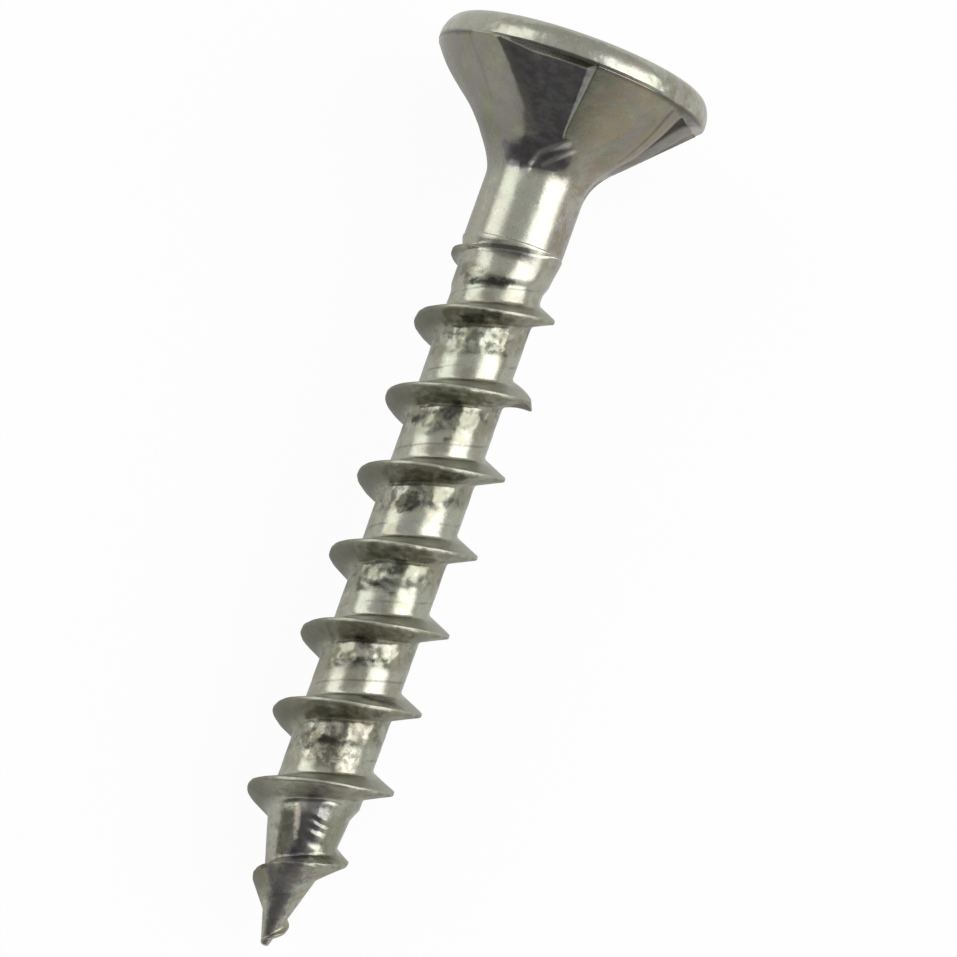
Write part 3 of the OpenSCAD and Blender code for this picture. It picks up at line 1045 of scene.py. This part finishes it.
# The pinching dies left rungs on the right of the point, unevenly spaced; the
# curve gives how many of the rungs lie above each height
RUNGS_TOP = 5.1
RUNGS_LOW = 2.9
RUNGS = 6
RUNG_CURVE = ((0.19, 1), (0.39, 2), (0.505, 3), (0.636, 4), (0.864, 5))
RUNG_DRIFT = 0.08
rung_curve = nodes.new("ShaderNodeFloatCurve")
for down_to, passed in RUNG_CURVE:
    rung_curve.mapping.curves[0].points.new(down_to, passed / RUNGS)
rung_curve.mapping.update()
down = times(less(RUNGS_TOP, up), 1 / (RUNGS_TOP - RUNGS_LOW))
drift = times(less(unevenness(0.5, shift=47.0), 0.5), RUNG_DRIFT)
links.new(plus(down, drift), rung_curve.inputs["Value"])
rungs = maths(zinc.node_tree, "COSINE", times(rung_curve.outputs[0], 2 * math.pi * RUNGS))
rungs = times(rungs, spot(24, 4.0, 21, 1.4, softness=0.4, rag=0.0))

# How high each unevenness stands, in millimetres
WAVES_H = 0.02
ROLLED_H = 0.13
RIM_H = 0.04
DENTS_H = 0.005
GRAIN_H = 0.0009
waves = times(unevenness(0.9, shift=12.0), WAVES_H)
wobble = times(unevenness(0.55, shift=37.0), plus(times(rolled, ROLLED_H), times(on_rim, RIM_H)))
more_dents = plus(1.0, times(flank, 2.0), near_tip)
dents = times(unevenness(0.28, shift=15.0, detail=2.0), DENTS_H, more_dents)
grain = times(unevenness(0.06, shift=18.0, detail=2.0), GRAIN_H)
relief = plus(waves, wobble, dents, grain)
for mask, high in (
    (lines, -0.003), (marks, -0.004), (folds, 0.012), (seam, -0.004), (rungs, 0.012),
    (scuff, 0.015),
):
    relief = plus(relief, times(mask, high))
bump = nodes.new("ShaderNodeBump")
bump.inputs["Distance"].default_value = MM
links.new(relief, bump.inputs["Height"])
links.new(bump.outputs["Normal"], shader.inputs["Normal"])
mesh.materials.append(zinc)
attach(screw, "root")
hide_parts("screw")

# The floor
# A pale, dull table top. To the camera and in mirrored light it shows nearly
# white, and it keeps the screw's soft shadow.
FLOOR_HALF = 1.2
FLOOR_CORNERS = ((-1, -1), (1, -1), (1, 1), (-1, 1))
PAPER_WHITE = (0.88, 0.88, 0.88, 1)
PAPER_ROUGH = 0.9
SEEN_WHITE = 0.95
MIRRORED_WHITE = 0.3
floor_mesh = bpy.data.meshes.new("floor")
floor_points = [(x * FLOOR_HALF, y * FLOOR_HALF, 0) for x, y in FLOOR_CORNERS]
floor_mesh.from_pydata(floor_points, [], [range(4)])
floor = bpy.data.objects.new("floor", floor_mesh)
bpy.context.scene.collection.objects.link(floor)
paper = bpy.data.materials.new("paper")
paper.use_nodes = True
paper_nodes, paper_links = paper.node_tree.nodes, paper.node_tree.links
paper_shader = paper_nodes["Principled BSDF"]
paper_shader.inputs["Base Color"].default_value = PAPER_WHITE
paper_shader.inputs["Roughness"].default_value = PAPER_ROUGH
paper_shader.inputs["Specular IOR Level"].default_value = 0.0
path = paper_nodes.new("ShaderNodeLightPath").outputs
seen = maths(paper.node_tree, "MULTIPLY", path["Is Camera Ray"], SEEN_WHITE)
either = maths(paper.node_tree, "ADD", path["Is Glossy Ray"], path["Is Transmission Ray"])
shown = maths(paper.node_tree, "MULTIPLY_ADD", either, MIRRORED_WHITE, seen)
white = paper_nodes.new("ShaderNodeEmission")
mixed = paper_nodes.new("ShaderNodeMixShader")
paper_links.new(shown, mixed.inputs[0])
paper_links.new(paper_shader.outputs[0], mixed.inputs[1])
paper_links.new(white.outputs[0], mixed.inputs[2])
paper_links.new(mixed.outputs[0], paper_nodes["Material Output"].inputs["Surface"])
floor_mesh.materials.append(paper)
floor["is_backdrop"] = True

# Light
# Two long soft boxes beside the camera, over an even grey room. Towards the
# point the room is dark above the table, which is what the pockets show.
BOX_AWAY = 0.3
ROOM_GREY = (0.57, 0.575, 0.57, 1)
ROOM_DARK = (0.19, 0.188, 0.192, 1)
ROOM_WHITE = (1.0, 1.0, 1.0, 1.0)
ABOVE_TABLE = Vector((0, 0, 1.6)) - right
middle = tip + axis * 0.5 * SCREW_L * MM


def placed_at(x_dir, y_dir, z_dir, place):
    """Where a lamp or the camera stands, and how it is turned."""
    turned = Matrix((x_dir, y_dir, z_dir)).transposed().to_4x4()
    turned.translation = place
    return turned


def soft_box(name, azimuth, height, wide, long, radiance, colour):
    """A lamp parallel to the screw. Azimuth runs round the screw from the
    camera's side and height is towards the head, both in degrees."""
    a, b = math.radians(azimuth), math.radians(height)
    out = (front * math.cos(a) + right * math.sin(a)) * math.cos(b) + axis * math.sin(b)
    data = bpy.data.lights.new(name, "AREA")
    data.shape = "RECTANGLE"
    data.size = wide
    data.size_y = long
    data.energy = math.pi * wide * long * radiance
    data.color = colour
    lamp = bpy.data.objects.new(name, data)
    bpy.context.scene.collection.objects.link(lamp)
    y_dir = (axis - out * axis.dot(out)).normalized()
    lamp.matrix_world = placed_at(y_dir.cross(out), y_dir, out, middle + out * BOX_AWAY)
    lamp.visible_camera = False


soft_box(
    "box_right", azimuth=47, height=14, wide=0.28, long=0.3, radiance=2.3, colour=(0.97, 0.98, 1.0)
)
soft_box(
    "box_left", azimuth=-60, height=14, wide=0.2, long=0.3, radiance=1.35, colour=(0.97, 1.0, 0.98)
)

room = bpy.data.worlds.new("room")
room.use_nodes = True
bpy.context.scene.world = room
room_nodes, room_links = room.node_tree.nodes, room.node_tree.links
look_out = room_nodes.new("ShaderNodeTexCoord").outputs["Generated"]


def leaning_to(direction, start, end):
    """0 to 1 over the room's directions, by how far they lean to one side."""
    dot = room_nodes.new("ShaderNodeVectorMath")
    dot.operation = "DOT_PRODUCT"
    dot.inputs[1].default_value = direction
    room_links.new(look_out, dot.inputs[0])
    return between(room.node_tree, dot.outputs["Value"], start, end)


def room_mix(factor, first, second):
    """Mixes two colours; each is a colour or a socket."""
    mix = room_nodes.new("ShaderNodeMix")
    mix.data_type = "RGBA"
    room_links.new(factor, mix.inputs["Factor"])
    for socket, value in ((mix.inputs[6], first), (mix.inputs[7], second)):
        feed(room.node_tree, socket, value)
    return mix.outputs[2]


to_point = leaning_to(-axis, 0.14, 0.24)
over_table = leaning_to(ABOVE_TABLE, -0.12, 0.02)
dark_part = maths(room.node_tree, "MULTIPLY", to_point, over_table)
room_path = room_nodes.new("ShaderNodeLightPath")
room_colour = room_mix(dark_part, ROOM_GREY, ROOM_DARK)
room_colour = room_mix(room_path.outputs["Is Camera Ray"], room_colour, ROOM_WHITE)
room_links.new(room_colour, room_nodes["Background"].inputs["Color"])

# Camera
# Almost straight above, a little towards the point, and turned so that the
# screw leans as it does in the photograph.
VIEW_TILT = math.radians(8.7)
LEAN = math.radians(19.6)
DISTANCE = 0.32
PICTURE_PX = 957
PX_PER_MM = 31.72
SENSOR = 36
AIM_SIDE = 1.42
AIM_Z = 16.2
NEAREST = 0.01
FARTHEST = 20
look = front * math.cos(VIEW_TILT) - axis * math.sin(VIEW_TILT)
along = front * math.sin(VIEW_TILT) + axis * math.cos(VIEW_TILT)
picture_x = right * math.cos(LEAN) + along * math.sin(LEAN)
picture_y = along * math.cos(LEAN) - right * math.sin(LEAN)
aim = tip + axis * AIM_Z * MM + right * AIM_SIDE * MM
camera_data = bpy.data.cameras.new("camera")
camera_data.sensor_width = SENSOR
camera_data.lens = SENSOR * DISTANCE / (PICTURE_PX / PX_PER_MM * MM)
camera_data.clip_start = NEAREST
camera_data.clip_end = FARTHEST
camera = bpy.data.objects.new("camera", camera_data)
bpy.context.scene.collection.objects.link(camera)
camera.matrix_world = placed_at(picture_x, picture_y, look, aim + look * DISTANCE)
bpy.context.scene.camera = camera
bpy.context.scene.view_settings.view_transform = "Standard"

low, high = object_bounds()
